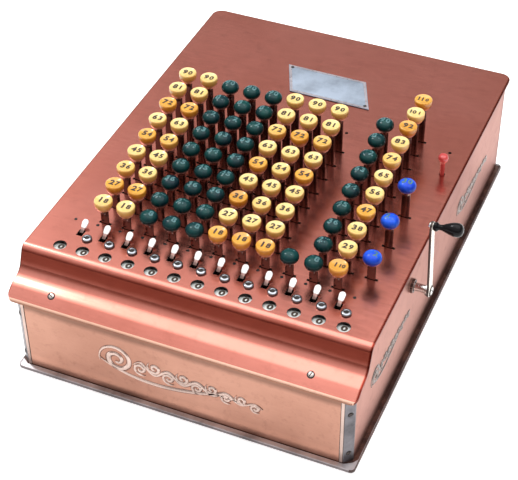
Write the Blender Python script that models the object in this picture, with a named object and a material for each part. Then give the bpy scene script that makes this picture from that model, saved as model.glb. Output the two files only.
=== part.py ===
"""Key-driven desk adding machine: a copper case with an ogee front, key columns and a clearing lever.

All sizes below are in millimetres, and a mesh is scaled to metres when its object is made. +X is the
operator's right, -Y is the operator's side and +Z is up. The origin is the centre of the base's underside.
Depths along Y are written from the front line of the case, FRONT, towards the back.
"""

import math

import bmesh
import bpy
from mathutils import Matrix, Vector

MM = 0.001
GAP = 0.3
CUT = 2.0

# Case
BASE_WIDTH = 282.0
BASE_LENGTH = 392.0
BASE_THICK = 3.0
BASE_CORNER = 4.0
BASE_PROUD = 3.5
FRONT = BASE_PROUD - BASE_LENGTH / 2
SHEET = 1.6
PANEL_FACE_X = {-1: -139.5, 1: 136.5}
PANEL_FACE_DEPTH = 1.5
PANEL_BOTTOM = BASE_THICK + GAP
PANEL_BACK_DEPTH = 382.0
SIDE_FRONT_DEPTH = 8.6
CHAMFER = 5.5

# Cover: a flat top, an ogee down to a sloping shelf, and a folded front edge. Tilts are in degrees
TOP = 105.0
COVER_HALF_WIDTH = 140.75
COVER_BACK_DEPTH = 383.0
CREST_CENTRE = (30.3, 98.0)
CREST_RADIUS = 7.0
STEEP_TILT = 68.0
COVE_CENTRE = (8.97, 95.9)
COVE_RADIUS = 12.0
SHELF_TILT = 12.0
NOSE_CENTRE = (10.5, 71.68)
NOSE_RADIUS = 12.0
NOSE_TILT = 32.0
FOLD_CENTRE = (-3.3, 74.85)
FOLD_RADIUS = 2.0
FOLD_BOTTOM = 74.6
FRONT_CORNER = 6.0
BACK_CORNER = 9.0

# Keyboard
PITCH = 19.05
COLUMN_1_X = -94.0
ROW_1_DEPTH = 72.5
ROW_1_RISE = 23.3
ROW_STEP = 2.5
TALLEST_RISE = 42.9
CAP_RADIUS = 7.2
CAP_SIDES = 10
STEM_WIDTH = 6.6
STEM_THICK = 1.2
STEM_BOTTOM = 58.0
SLOT_WIDTH = 10.5
SLOT_LENGTH = 2.4
BANK_COLUMNS = 8
BANK_ROWS = 9
BAR_BOTTOM = 60.0
BAR_TOP = 66.0
BAR_WIDTH = 6.4
TEN_SHILLING_COLUMN = 9
SHILLING_COLUMN = 10
SHILLING_ROWS = 9
PENCE_COLUMN = 11
PENCE_ROWS = 11
FARTHING_COLUMN = 12
FARTHING_ROWS = (2, 4, 6)
GUIDE_BOTTOM = 80.0
GUIDE_THICK = 2.0
GUIDE_FRONT_DEPTH = 62.0
GUIDE_BACK_DEPTH = 372.0
GUIDE_SLOT_WIDTH = 8.4

# Numeral wheels and their windows
WHEELS = 13
WHEEL_1_X = -114.0
WHEEL_DEPTH = 36.8
WHEEL_HEIGHT = 89.5
WHEEL_RADIUS = 13.0
WHEEL_WIDTH = 12.0
WHEEL_SHAFT_RADIUS = 3.0
WINDOW_RADIUS = 5.15

# Cut-off levers, and the rail that carries their pivot rod and the studs
CUTOFFS = 12
CUTOFF_1_X = -106.0
CUTOFF_PIVOT_DEPTH = 57.0
CUTOFF_PIVOT_HEIGHT = 90.0
CUTOFF_WIDTH = 3.0
CUTOFF_THICK = 1.2
CUTOFF_KNEE = (56.0, 104.6)
CUTOFF_TIP = (65.5, 110.3)
LEAF_HALF_WIDTH = 2.7
CUTOFF_EYE_RADIUS = 3.2
CUTOFF_EYE_HOLE = 1.9
CUTOFF_SLOT_DEPTHS = (51.6, 58.6)
CUTOFF_SLOT_WIDTH = 5.2
ROD_RADIUS = 1.5
STUD_1_X = -98.0
STUD_DEPTH = 50.0
STUD_RADIUS = 4.0
STUD_RISE = 2.0
STUD_POST_RADIUS = 1.5
STUD_HOLE_RADIUS = 1.9
RAIL_DEPTHS = (47.8, 51.6)
RAIL_HEIGHTS = (100.5, TOP - SHEET - GAP)
RAIL_EAR_X = 113.0
RAIL_EAR_THICK = 2.0
RAIL_EAR_DEPTHS = (50.6, 59.0)

# Side lever
LEVER_DEPTH = 127.5
LEVER_HEIGHT = 75.0
LEVER_INNER_X = 149.8
LEVER_THICK = 2.2
LEVER_TOP = (117.5, 147.4)
LEVER_FOOT_RADIUS = 5.2
LEVER_HEAD_RADIUS = 3.4
LEVER_SHAFT_RADIUS = 3.3
LEVER_SHAFT_INNER_X = 122.0
CRANK_THICK = 2.5
CRANK_LENGTH = 20.0
CRANK_RADIUS = 4.5
BUSH_RADIUS = 5.8
BUSH_LENGTH = 2.6
BUSH_HOLE_RADIUS = 3.9
KNOB_GAP = 0.7
KNOB_LENGTH = 21.6
KNOB_TILT = 7.0

# Release key, nameplate and the two small holes of the cover
RELEASE_X = 126.0
RELEASE_DEPTH = 229.0
RELEASE_STEM_RADIUS = 1.9
RELEASE_HOLE_RADIUS = 2.5
RELEASE_RISE = 19.5
NAMEPLATE_FRONT_X = (-28.6, 43.0)
NAMEPLATE_DEPTHS = (287.5, 324.0)
NAMEPLATE_SHEAR = -15.6
NAMEPLATE_THICK = 0.8
SMALL_HOLES = ((36.9, 250.7), (123.6, 257.7))
SMALL_HOLE_RADIUS = 1.4

COLOURS = {
    "copper": ((0.62, 0.26, 0.18), 1.0, 0.35),
    "base_metal": ((0.10, 0.08, 0.07), 0.9, 0.25),
    "corner_grey": ((0.28, 0.27, 0.26), 0.9, 0.4),
    "nickel": ((0.80, 0.78, 0.74), 1.0, 0.2),
    "polished_steel": ((0.70, 0.66, 0.60), 1.0, 0.25),
    "inner_steel": ((0.30, 0.29, 0.28), 1.0, 0.45),
    "nameplate_alloy": ((0.50, 0.53, 0.56), 0.9, 0.35),
    "wheel_white": ((0.82, 0.82, 0.78), 0.0, 0.4),
    "ivory": ((0.93, 0.80, 0.50), 0.0, 0.3),
    "green": ((0.01, 0.09, 0.07), 0.0, 0.15),
    "blue": ((0.02, 0.10, 0.50), 0.0, 0.15),
    "red": ((0.45, 0.03, 0.03), 0.0, 0.3),
    "black": ((0.01, 0.01, 0.01), 0.0, 0.2),
}
BANK_COLOURS = ("ivory", "ivory", "green", "green", "green", "ivory", "ivory", "ivory")


def clear_scene():
    for obj in list(bpy.data.objects):
        bpy.data.objects.remove(obj)


def make_materials():
    made = {}
    for name, (colour, metallic, roughness) in COLOURS.items():
        material = bpy.data.materials.new(name)
        material.use_nodes = True
        shader = material.node_tree.nodes["Principled BSDF"]
        shader.inputs["Base Color"].default_value = (*colour, 1.0)
        shader.inputs["Metallic"].default_value = metallic
        shader.inputs["Roughness"].default_value = roughness
        material.diffuse_color = (*colour, 1.0)
        made[name] = material
    return made


def at(depth):
    """The Y of a depth measured from the front line of the case."""
    return FRONT + depth


def arc(centre, radius, start, end, steps):
    """Points on a circle from one angle to another, in degrees."""
    points = []
    for step in range(steps + 1):
        angle = math.radians(start + (end - start) * step / steps)
        points.append((centre[0] + radius * math.cos(angle), centre[1] + radius * math.sin(angle)))
    return points


def prism(outline, axis, low, high):
    """A closed solid: a flat outline extruded along X, Y or Z."""
    order = {"X": lambda u, v, w: (w, u, v), "Y": lambda u, v, w: (u, w, v), "Z": lambda u, v, w: (u, v, w)}
    place = order[axis]
    shape = bmesh.new()
    rings = [[shape.verts.new(place(u, v, level)) for u, v in outline] for level in (low, high)]
    shape.faces.new(rings[0])
    shape.faces.new(rings[1])
    for index in range(len(outline)):
        following = (index + 1) % len(outline)
        shape.faces.new((rings[0][index], rings[0][following], rings[1][following], rings[1][index]))
    bmesh.ops.recalc_face_normals(shape, faces=shape.faces)
    return shape


def box(x_range, y_range, z_range):
    (x0, x1), (y0, y1) = x_range, y_range
    return prism(((x0, y0), (x1, y0), (x1, y1), (x0, y1)), "Z", *z_range)


def turned(profile, sides, axis, centre=(0.0, 0.0, 0.0)):
    """A closed solid of revolution. The profile is (radius, height) pairs from one flat end to the other."""
    shape = bmesh.new()
    rings = []
    for radius, height in profile:
        turn = [2 * math.pi * (index + 0.5) / sides for index in range(sides)]
        rings.append([shape.verts.new((radius * math.cos(a), radius * math.sin(a), height)) for a in turn])
    shape.faces.new(rings[0])
    shape.faces.new(rings[-1])
    for lower, upper in zip(rings, rings[1:]):
        for index in range(sides):
            following = (index + 1) % sides
            shape.faces.new((lower[index], lower[following], upper[following], upper[index]))
    if axis == "X":
        bmesh.ops.transform(shape, matrix=Matrix.Rotation(math.radians(90), 4, "Y"), verts=shape.verts)
    bmesh.ops.translate(shape, vec=centre, verts=shape.verts)
    bmesh.ops.recalc_face_normals(shape, faces=shape.faces)
    return shape


def gathered(shapes):
    """Several separate shapes in one mesh."""
    whole = bmesh.new()
    for shape in shapes:
        mesh = bpy.data.meshes.new("gathered")
        shape.to_mesh(mesh)
        shape.free()
        whole.from_mesh(mesh)
        bpy.data.meshes.remove(mesh)
    return whole


def scratch_object(shape):
    mesh = bpy.data.meshes.new("scratch")
    shape.to_mesh(mesh)
    shape.free()
    obj = bpy.data.objects.new("scratch", mesh)
    bpy.context.scene.collection.objects.link(obj)
    return obj


def combined(operation, first, second):
    """The union or the difference of two shapes."""
    body, tool = scratch_object(first), scratch_object(second)
    modifier = body.modifiers.new(operation, "BOOLEAN")
    modifier.operation = operation
    modifier.solver = "EXACT"
    modifier.object = tool
    graph = bpy.context.evaluated_depsgraph_get()
    result = bmesh.new()
    result.from_mesh(body.evaluated_get(graph).data)
    for obj in (body, tool):
        mesh = obj.data
        bpy.data.objects.remove(obj)
        bpy.data.meshes.remove(mesh)
    bmesh.ops.remove_doubles(result, verts=result.verts, dist=0.001)
    return result


def add_node(name, shape, material, origin=(0.0, 0.0, 0.0), smooth=True):
    """Makes the named object, in metres, with its own origin."""
    bmesh.ops.translate(shape, vec=-Vector(origin), verts=shape.verts)
    bmesh.ops.scale(shape, vec=(MM, MM, MM), verts=shape.verts)
    mesh = bpy.data.meshes.new(name)
    shape.to_mesh(mesh)
    shape.free()
    mesh.materials.append(MATERIALS[material])
    if smooth:
        mesh.shade_smooth()
        mesh.set_sharp_from_angle(angle=math.radians(35))
    obj = bpy.data.objects.new(name, mesh)
    obj.location = Vector(origin) * MM
    bpy.context.scene.collection.objects.link(obj)
    return obj


def cover_line(inset):
    """The cover's section, (Y, Z) from the back edge to the fold, moved inwards from its outer face."""
    crest = arc(CREST_CENTRE, CREST_RADIUS - inset, 90, 90 + STEEP_TILT, 6)
    cove = arc(COVE_CENTRE, COVE_RADIUS + inset, STEEP_TILT - 90, SHELF_TILT - 90, 5)
    nose = arc(NOSE_CENTRE, NOSE_RADIUS - inset, 90 + SHELF_TILT, 90 + NOSE_TILT, 3)
    fold = arc(FOLD_CENTRE, FOLD_RADIUS - inset, 90 + NOSE_TILT, 180, 3)
    line = [(COVER_BACK_DEPTH, TOP - inset), *crest, *cove, *nose, *fold, (fold[-1][0], FOLD_BOTTOM)]
    return [(at(depth), height) for depth, height in line]


def below_cover(shape):
    """The part of a shape that lies under the cover, a gap away from it."""
    line = cover_line(SHEET + GAP)
    front, back, high = at(-20.0), at(COVER_BACK_DEPTH + 20.0), TOP + 20.0
    outline = [(back, line[0][1]), *line, (front, FOLD_BOTTOM), (front, high), (back, high)]
    roof = prism(outline, "X", -COVER_HALF_WIDTH - CUT, COVER_HALF_WIDTH + CUT)
    return combined("DIFFERENCE", shape, roof)


def corner_cutter(corner, inward, radius, axis, low, high):
    """What rounding a corner removes: a square block, larger than the corner by CUT, less a quarter disc."""
    (u, v), (du, dv) = corner, inward
    centre = (u + du * radius, v + dv * radius)
    outer = (u - du * CUT, v - dv * CUT)
    curve = [(centre[0] - du * a, centre[1] - dv * b) for a, b in arc((0.0, 0.0), radius, 0, 90, 5)]
    return prism([*curve, (centre[0], outer[1]), outer, (outer[0], centre[1])], axis, low, high)


def round_hole(x, depth, radius, sides, low, high):
    return turned([(radius, low), (radius, high)], sides, "Z", (x, at(depth), 0.0))


def column_x(column):
    return COLUMN_1_X + PITCH * (column - 1)


def row_depth(row):
    return ROW_1_DEPTH + PITCH * (row - 1)


def key_places():
    """Every key's column and row."""
    places = [(column, row) for column in range(1, BANK_COLUMNS + 1) for row in range(1, BANK_ROWS + 1)]
    places.append((TEN_SHILLING_COLUMN, 1))
    places += [(SHILLING_COLUMN, row) for row in range(1, SHILLING_ROWS + 1)]
    places += [(PENCE_COLUMN, row) for row in range(1, PENCE_ROWS + 1)]
    places += [(FARTHING_COLUMN, row) for row in FARTHING_ROWS]
    return places


def key_shape(column, row, bottom):
    """One key: a turned cap on a flat stem."""
    x, y = column_x(column), at(row_depth(row))
    top = TOP + min(ROW_1_RISE + ROW_STEP * (row - 1), TALLEST_RISE)
    profile = [(3.0, top - 10.6), (6.0, top - 7.6), (CAP_RADIUS, top - 4.0), (6.9, top)]
    cap = turned(profile, CAP_SIDES, "Z", (x, y, 0.0))
    half_width, half_thick = STEM_WIDTH / 2, STEM_THICK / 2
    stem = box((x - half_width, x + half_width), (y - half_thick, y + half_thick), (bottom, top - 7.0))
    return combined("UNION", cap, stem)


def add_key_banks():
    for column in range(1, BANK_COLUMNS + 1):
        x = column_x(column)
        y_range = (at(ROW_1_DEPTH) - 5.0, at(row_depth(BANK_ROWS)) + 5.0)
        bar = box((x - BAR_WIDTH / 2, x + BAR_WIDTH / 2), y_range, (BAR_BOTTOM, BAR_TOP))
        keys = gathered([key_shape(column, row, BAR_BOTTOM + 2.0) for row in range(1, BANK_ROWS + 1)])
        origin = (x, at(ROW_1_DEPTH), TOP)
        add_node(f"pounds_keys_{column}", combined("UNION", bar, keys), BANK_COLOURS[column - 1], origin)


def add_single_key(name, column, row, material):
    origin = (column_x(column), at(row_depth(row)), TOP)
    add_node(name, key_shape(column, row, STEM_BOTTOM), material, origin)


def add_single_keys():
    add_single_key("ten_shilling_key", TEN_SHILLING_COLUMN, 1, "green")
    for row in range(1, SHILLING_ROWS + 1):
        add_single_key(f"shilling_key_{row}", SHILLING_COLUMN, row, "green")
    for row in range(1, PENCE_ROWS + 1):
        add_single_key(f"pence_key_{row}", PENCE_COLUMN, row, "ivory")
    for number, row in enumerate(FARTHING_ROWS, 1):
        add_single_key(f"farthing_key_{number}", FARTHING_COLUMN, row, "blue")


def add_cover():
    outline = cover_line(0.0) + cover_line(SHEET)[::-1]
    sheet = prism(outline, "X", -COVER_HALF_WIDTH, COVER_HALF_WIDTH)
    low, high = TOP - SHEET - CUT, TOP + CUT
    cutters = []
    for column, row in key_places():
        x, y = column_x(column), at(row_depth(row))
        x_range = (x - SLOT_WIDTH / 2, x + SLOT_WIDTH / 2)
        cutters.append(box(x_range, (y - SLOT_LENGTH / 2, y + SLOT_LENGTH / 2), (low, high)))
    for index in range(WHEELS):
        cutters.append(round_hole(WHEEL_1_X + PITCH * index, WHEEL_DEPTH, WINDOW_RADIUS, 16, low, high))
    for index in range(CUTOFFS):
        x = CUTOFF_1_X + PITCH * index
        y_range = (at(CUTOFF_SLOT_DEPTHS[0]), at(CUTOFF_SLOT_DEPTHS[1]))
        cutters.append(box((x - CUTOFF_SLOT_WIDTH / 2, x + CUTOFF_SLOT_WIDTH / 2), y_range, (low, high)))
        cutters.append(round_hole(STUD_1_X + PITCH * index, STUD_DEPTH, STUD_HOLE_RADIUS, 8, low, high))
    cutters.append(round_hole(RELEASE_X, RELEASE_DEPTH, RELEASE_HOLE_RADIUS, 10, low, high))
    for x, depth in SMALL_HOLES:
        cutters.append(round_hole(x, depth, SMALL_HOLE_RADIUS, 8, low, high))
    for side in (-1, 1):
        front_corner = (side * COVER_HALF_WIDTH, cover_line(0.0)[-1][0])
        cutters.append(corner_cutter(front_corner, (-side, 1), FRONT_CORNER, "Z", FOLD_BOTTOM - CUT, high))
        back_corner = (side * COVER_HALF_WIDTH, at(COVER_BACK_DEPTH))
        cutters.append(corner_cutter(back_corner, (-side, -1), BACK_CORNER, "Z", low, high))
    add_node("top_cover", combined("DIFFERENCE", sheet, gathered(cutters)), "copper")


def add_base():
    half_width, half_length = BASE_WIDTH / 2, BASE_LENGTH / 2
    outline = []
    for quarter, (side, end) in enumerate(((1, 1), (-1, 1), (-1, -1), (1, -1))):
        centre = (side * (half_width - BASE_CORNER), end * (half_length - BASE_CORNER))
        outline += arc(centre, BASE_CORNER, 90 * quarter, 90 * quarter + 90, 4)
    add_node("base_plate", prism(outline, "Z", 0.0, BASE_THICK), "base_metal")


def add_front_and_rear_panels():
    front_y = (at(PANEL_FACE_DEPTH), at(PANEL_FACE_DEPTH + 1.5))
    ends = [PANEL_FACE_X[side] - side * (CHAMFER + 0.7 + GAP) for side in (-1, 1)]
    front = box(ends, front_y, (PANEL_BOTTOM, TOP))
    add_node("front_panel", below_cover(front), "copper")
    rear_y = (at(PANEL_BACK_DEPTH - SHEET), at(PANEL_BACK_DEPTH))
    rear = box(inside(GAP), rear_y, (PANEL_BOTTOM, TOP - SHEET - GAP))
    add_node("rear_panel", rear, "copper")


def inside(margin):
    """The span in X between the side panels' inner faces, less a margin at each end."""
    return [PANEL_FACE_X[side] - side * (SHEET + margin) for side in (-1, 1)]


def side_panel(side):
    x_range = sorted((PANEL_FACE_X[side], PANEL_FACE_X[side] - side * SHEET))
    wall = box(x_range, (at(SIDE_FRONT_DEPTH), at(PANEL_BACK_DEPTH)), (PANEL_BOTTOM, TOP))
    return below_cover(wall)


def add_side_panels():
    add_node("left_side_panel", side_panel(-1), "copper")
    centre = (0.0, at(LEVER_DEPTH), LEVER_HEIGHT)
    inner, outer = PANEL_FACE_X[1] - SHEET / 2, PANEL_FACE_X[1] + BUSH_LENGTH
    bush = turned([(BUSH_RADIUS, inner), (BUSH_RADIUS, outer)], 20, "X", centre)
    hole_ends = (PANEL_FACE_X[1] - SHEET - CUT, outer + CUT)
    hole = turned([(BUSH_HOLE_RADIUS, end) for end in hole_ends], 16, "X", centre)
    panel = combined("DIFFERENCE", combined("UNION", side_panel(1), bush), hole)
    add_node("right_side_panel", panel, "copper")


def add_corner_posts():
    """A folded post behind each front corner: two inner flanges and a chamfered face between them."""
    face, flange = PANEL_FACE_DEPTH + 0.1, PANEL_FACE_DEPTH + 1.5 + GAP + 0.1
    for name, sign in (("corner_post_left", -1), ("corner_post_right", 1)):
        side = abs(PANEL_FACE_X[sign])
        front, inner_side = side - CHAMFER - 0.7, side - SHEET - GAP
        section = (
            (front - 9.5, flange),
            (front, flange),
            (front, face),
            (front + 0.7, face),
            (side, face + CHAMFER),
            (side, SIDE_FRONT_DEPTH - GAP),
            (inner_side, SIDE_FRONT_DEPTH - GAP),
            (inner_side, 20.0),
            (inner_side - 1.5, 20.0),
            (inner_side - 1.5, SIDE_FRONT_DEPTH - 0.5),
            (front, flange + 1.5),
            (front - 9.5, flange + 1.5),
        )
        post = prism([(sign * x, at(depth)) for x, depth in section], "Z", PANEL_BOTTOM, TOP)
        add_node(name, below_cover(post), "corner_grey", smooth=False)


def add_guide_plate():
    y_range = (at(GUIDE_FRONT_DEPTH), at(GUIDE_BACK_DEPTH))
    plate = box(inside(GAP), y_range, (GUIDE_BOTTOM, GUIDE_BOTTOM + GUIDE_THICK))
    low, high = GUIDE_BOTTOM - CUT, GUIDE_BOTTOM + GUIDE_THICK + CUT
    slot_y = (at(ROW_1_DEPTH - 4.0), at(row_depth(PENCE_ROWS) + 4.0))
    cutters = []
    for column in range(1, FARTHING_COLUMN + 1):
        x = column_x(column)
        cutters.append(box((x - GUIDE_SLOT_WIDTH / 2, x + GUIDE_SLOT_WIDTH / 2), slot_y, (low, high)))
    cutters.append(round_hole(RELEASE_X, RELEASE_DEPTH, RELEASE_HOLE_RADIUS, 10, low, high))
    add_node("key_guide_plate", combined("DIFFERENCE", plate, gathered(cutters)), "inner_steel", smooth=False)


def add_numeral_wheels():
    """Thirteen wheels on one shaft, as one turned solid."""
    left_end, right_end = inside(GAP)
    profile = [(WHEEL_SHAFT_RADIUS, left_end)]
    for index in range(WHEELS):
        left = WHEEL_1_X + PITCH * index - WHEEL_WIDTH / 2
        right = left + WHEEL_WIDTH
        profile += [(WHEEL_SHAFT_RADIUS, left), (WHEEL_RADIUS, left)]
        profile += [(WHEEL_RADIUS, right), (WHEEL_SHAFT_RADIUS, right)]
    profile.append((WHEEL_SHAFT_RADIUS, right_end))
    centre = (0.0, at(WHEEL_DEPTH), WHEEL_HEIGHT)
    add_node("numeral_wheels", turned(profile, 16, "X", centre), "wheel_white", centre)


def add_stud_rail():
    """The rail under the cover: twelve studs stand on it, and its two ears hold the cut-off levers' rod."""
    ear_outer = RAIL_EAR_X + RAIL_EAR_THICK
    rail = box((-ear_outer, ear_outer), (at(RAIL_DEPTHS[0]), at(RAIL_DEPTHS[1])), RAIL_HEIGHTS)
    parts = []
    for side in (-1, 1):
        x_range = sorted((side * RAIL_EAR_X, side * ear_outer - side * 0.2))
        y_range = (at(RAIL_EAR_DEPTHS[0]), at(RAIL_EAR_DEPTHS[1]))
        parts.append(box(x_range, y_range, (CUTOFF_PIVOT_HEIGHT - 2.5, RAIL_HEIGHTS[1] - 0.4)))
    for index in range(CUTOFFS):
        low = RAIL_HEIGHTS[0] + 0.8
        face = TOP + GAP
        profile = [
            (STUD_POST_RADIUS, low),
            (STUD_POST_RADIUS, face),
            (STUD_RADIUS, face),
            (STUD_RADIUS, face + STUD_RISE * 0.6),
            (STUD_RADIUS * 0.75, face + STUD_RISE),
        ]
        parts.append(turned(profile, 8, "Z", (STUD_1_X + PITCH * index, at(STUD_DEPTH), 0.0)))
    body = combined("UNION", rail, gathered(parts))
    centre = (0.0, at(CUTOFF_PIVOT_DEPTH), CUTOFF_PIVOT_HEIGHT)
    rod = turned([(ROD_RADIUS, -RAIL_EAR_X - 1.0), (ROD_RADIUS, RAIL_EAR_X + 1.0)], 8, "X", centre)
    add_node("stud_rail", combined("UNION", body, rod), "nickel")


def cutoff_shape(x):
    """A cut-off lever: an eye round the rod, an upright, and a leaf that lies back over the cover."""
    knee, tip = Vector(CUTOFF_KNEE), Vector(CUTOFF_TIP)
    foot = Vector((CUTOFF_PIVOT_DEPTH, CUTOFF_PIVOT_HEIGHT))
    half_width, half_thick = CUTOFF_WIDTH / 2, CUTOFF_THICK / 2
    side_view = [(knee.x - half_thick, knee.y), (knee.x + half_thick, knee.y)]
    side_view += arc(foot, CUTOFF_EYE_RADIUS, 80, -260, 9)
    upright = prism([(at(depth), height) for depth, height in side_view], "X", x - half_width, x + half_width)

    length = (tip - knee).length
    right = [(half_width, -0.5), (half_width + 0.3, 2.5), (LEAF_HALF_WIDTH, length - LEAF_HALF_WIDTH - 0.5)]
    end = arc((0.0, length - LEAF_HALF_WIDTH), LEAF_HALF_WIDTH, 0, 180, 6)
    left = [(-across, along) for across, along in right[::-1]]
    leaf = prism([*right, *end, *left], "Z", -half_thick, half_thick)
    lean = Matrix.Rotation(math.atan2(tip.y - knee.y, tip.x - knee.x), 4, "X")
    place = Matrix.Translation((x, at(knee.x), knee.y))
    bmesh.ops.transform(leaf, matrix=place @ lean, verts=leaf.verts)
    lever = combined("UNION", upright, leaf)

    hole_ends = (x - half_width - CUT, x + half_width + CUT)
    centre = (0.0, at(CUTOFF_PIVOT_DEPTH), CUTOFF_PIVOT_HEIGHT)
    hole = turned([(CUTOFF_EYE_HOLE, hole_end) for hole_end in hole_ends], 10, "X", centre)
    return combined("DIFFERENCE", lever, hole)


def add_cutoff_levers():
    for index in range(CUTOFFS):
        x = CUTOFF_1_X + PITCH * index
        origin = (x, at(CUTOFF_PIVOT_DEPTH), CUTOFF_PIVOT_HEIGHT)
        add_node(f"cutoff_lever_{index + 1}", cutoff_shape(x), "nickel", origin)


def add_side_lever():
    pivot = (0.0, at(LEVER_DEPTH), LEVER_HEIGHT)
    foot, head = Vector((LEVER_DEPTH, LEVER_HEIGHT)), Vector(LEVER_TOP)
    lean = math.degrees(math.atan2(head.y - foot.y, head.x - foot.x))
    outline = arc(foot, LEVER_FOOT_RADIUS, lean + 50, lean + 310, 10)
    outline += arc(head, LEVER_HEAD_RADIUS, lean - 80, lean + 80, 6)
    outline = [(at(depth), height) for depth, height in outline]
    outer = LEVER_INNER_X + LEVER_THICK
    add_node("zero_lever_arm", prism(outline, "X", LEVER_INNER_X, outer), "polished_steel", pivot)

    profile = [
        (3.3, 0.0),
        (3.5, 2.0),
        (2.1, 3.4),
        (2.3, 6.0),
        (4.3, 11.0),
        (5.3, 15.0),
        (5.2, 18.0),
        (3.6, 20.6),
        (1.0, KNOB_LENGTH),
    ]
    knob = turned(profile, 12, "X")
    tilt = Matrix.Rotation(math.radians(-KNOB_TILT), 4, "Y")
    place = Matrix.Translation((outer + KNOB_GAP, at(LEVER_TOP[0]), LEVER_TOP[1]))
    bmesh.ops.transform(knob, matrix=place @ tilt, verts=knob.verts)
    add_node("zero_lever_knob", knob, "black", pivot)

    ends = (LEVER_SHAFT_INNER_X + 0.5, LEVER_INNER_X - GAP)
    rod = turned([(LEVER_SHAFT_RADIUS, end) for end in ends], 12, "X", pivot)
    low = LEVER_HEIGHT - CRANK_LENGTH
    crank_outline = arc((pivot[1], LEVER_HEIGHT), CRANK_RADIUS, 0, 180, 6)
    crank_outline += arc((pivot[1], low), CRANK_RADIUS / 2, 180, 360, 5)
    crank = prism(crank_outline, "X", LEVER_SHAFT_INNER_X, LEVER_SHAFT_INNER_X + CRANK_THICK)
    add_node("zero_lever_shaft", combined("UNION", rod, crank), "polished_steel", pivot)


def add_release_key():
    top = TOP + RELEASE_RISE
    profile = [
        (RELEASE_STEM_RADIUS, STEM_BOTTOM),
        (RELEASE_STEM_RADIUS, top - 6.5),
        (3.9, top - 5.0),
        (4.1, top - 2.4),
        (2.6, top),
    ]
    centre = (RELEASE_X, at(RELEASE_DEPTH), 0.0)
    origin = (RELEASE_X, at(RELEASE_DEPTH), TOP)
    add_node("red_release_key", turned(profile, 10, "Z", centre), "red", origin)


def add_nameplate():
    (front_left, front_right), (front, back) = NAMEPLATE_FRONT_X, NAMEPLATE_DEPTHS
    outline = (
        (front_left, at(front)),
        (front_right, at(front)),
        (front_right + NAMEPLATE_SHEAR, at(back)),
        (front_left + NAMEPLATE_SHEAR, at(back)),
    )
    low = TOP + GAP
    add_node("nameplate", prism(outline, "Z", low, low + NAMEPLATE_THICK), "nameplate_alloy", smooth=False)


clear_scene()
MATERIALS = make_materials()
add_base()
add_front_and_rear_panels()
add_side_panels()
add_corner_posts()
add_cover()
add_guide_plate()
add_nameplate()
add_side_lever()
add_release_key()
add_numeral_wheels()
add_stud_rail()
add_key_banks()
add_single_keys()
add_cutoff_levers()
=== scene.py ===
"""Looks of the key-driven adding machine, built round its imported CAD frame.

Lengths in this script are in millimetres and are scaled to metres when a mesh is made. +X is the operator's
right, -Y the operator's side and +Z up.
"""

import math

import bmesh
import bpy
from mathutils import Matrix, Vector


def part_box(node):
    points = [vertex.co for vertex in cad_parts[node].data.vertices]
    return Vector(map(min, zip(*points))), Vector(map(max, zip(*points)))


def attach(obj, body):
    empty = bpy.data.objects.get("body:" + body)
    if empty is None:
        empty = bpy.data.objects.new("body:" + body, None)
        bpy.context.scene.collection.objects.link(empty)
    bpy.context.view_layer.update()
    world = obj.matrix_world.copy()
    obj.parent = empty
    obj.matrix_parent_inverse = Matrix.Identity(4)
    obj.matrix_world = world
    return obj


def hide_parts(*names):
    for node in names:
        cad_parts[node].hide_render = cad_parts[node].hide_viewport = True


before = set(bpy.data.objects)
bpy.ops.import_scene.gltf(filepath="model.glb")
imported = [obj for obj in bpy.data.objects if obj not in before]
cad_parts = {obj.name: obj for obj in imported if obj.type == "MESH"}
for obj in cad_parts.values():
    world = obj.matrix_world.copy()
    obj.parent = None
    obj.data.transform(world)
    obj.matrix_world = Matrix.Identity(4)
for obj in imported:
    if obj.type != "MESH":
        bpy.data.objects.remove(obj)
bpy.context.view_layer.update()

MM = 0.001


def box_mm(node):
    """A CAD node's lowest and highest corners, in millimetres."""
    low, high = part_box(node)
    return low / MM, high / MM


def middle(node):
    low, high = box_mm(node)
    return (low + high) / 2


# Places, most of them read from the frame, and counts
COVER_LOW, COVER_HIGH = box_mm("top_cover")
TOP = COVER_HIGH.z
BASE_LOW, BASE_HIGH = box_mm("base_plate")
FRONT_LEDGE = 3.5
FRONT = BASE_LOW.y + FRONT_LEDGE
PITCH = middle("pence_key_2").y - middle("pence_key_1").y
COLUMN_1_X = middle("pounds_keys_1").x
ROW_1_Y = middle("pence_key_1").y
FACES = {-1: box_mm("corner_post_left")[0].x, 1: box_mm("corner_post_right")[1].x}
BANK_ROWS = 9
PENCE_ROWS = 11
CUTOFFS = 12
WHEELS = 13

# The cover's section and its holes. A centre is (depth behind the front line, height), a hole is (x, depth)
SHEET = 1.6
CREST_CENTRE = (30.3, 98.0)
CREST_RADIUS = 7.0
STEEP_TILT = 68.0
COVE_CENTRE = (8.97, 95.9)
COVE_RADIUS = 12.0
SHELF_TILT = 12.0
NOSE_CENTRE = (10.5, 71.68)
NOSE_RADIUS = 12.0
NOSE_TILT = 32.0
FOLD_CENTRE = (-3.3, 74.85)
FOLD_RADIUS = 2.0
# How far up the slope the fold's painted highlight reaches
FOLD_HIGHLIGHT_REACH = 1.0
FRONT_CORNER = 6.0
BACK_CORNER = 9.0
CUT = 2.0
SLOT_WIDTH = 10.5
SLOT_LENGTH = 2.4
WINDOW_RADIUS = 5.15
RELEASE_HOLE_RADIUS = 2.5
SMALL_HOLE_RADIUS = 1.4
SMALL_HOLES = ((36.9, 250.7), (123.6, 257.7))

# Numeral wheels. Their digits stand a tenth of a turn apart, and the zero leads its window by a few degrees
WHEEL_1_X = COLUMN_1_X - 20.0
WHEEL_RADIUS = 13.0
WHEEL_HALF_WIDTH = 6.0
WHEEL_BORE = 4.6
WHEEL_SHAFT_RADIUS = 3.0
DIGIT_HEIGHT = 5.6
DIGIT_SPREAD = 1.35
DIGIT_LEAD = 6.0

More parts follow.
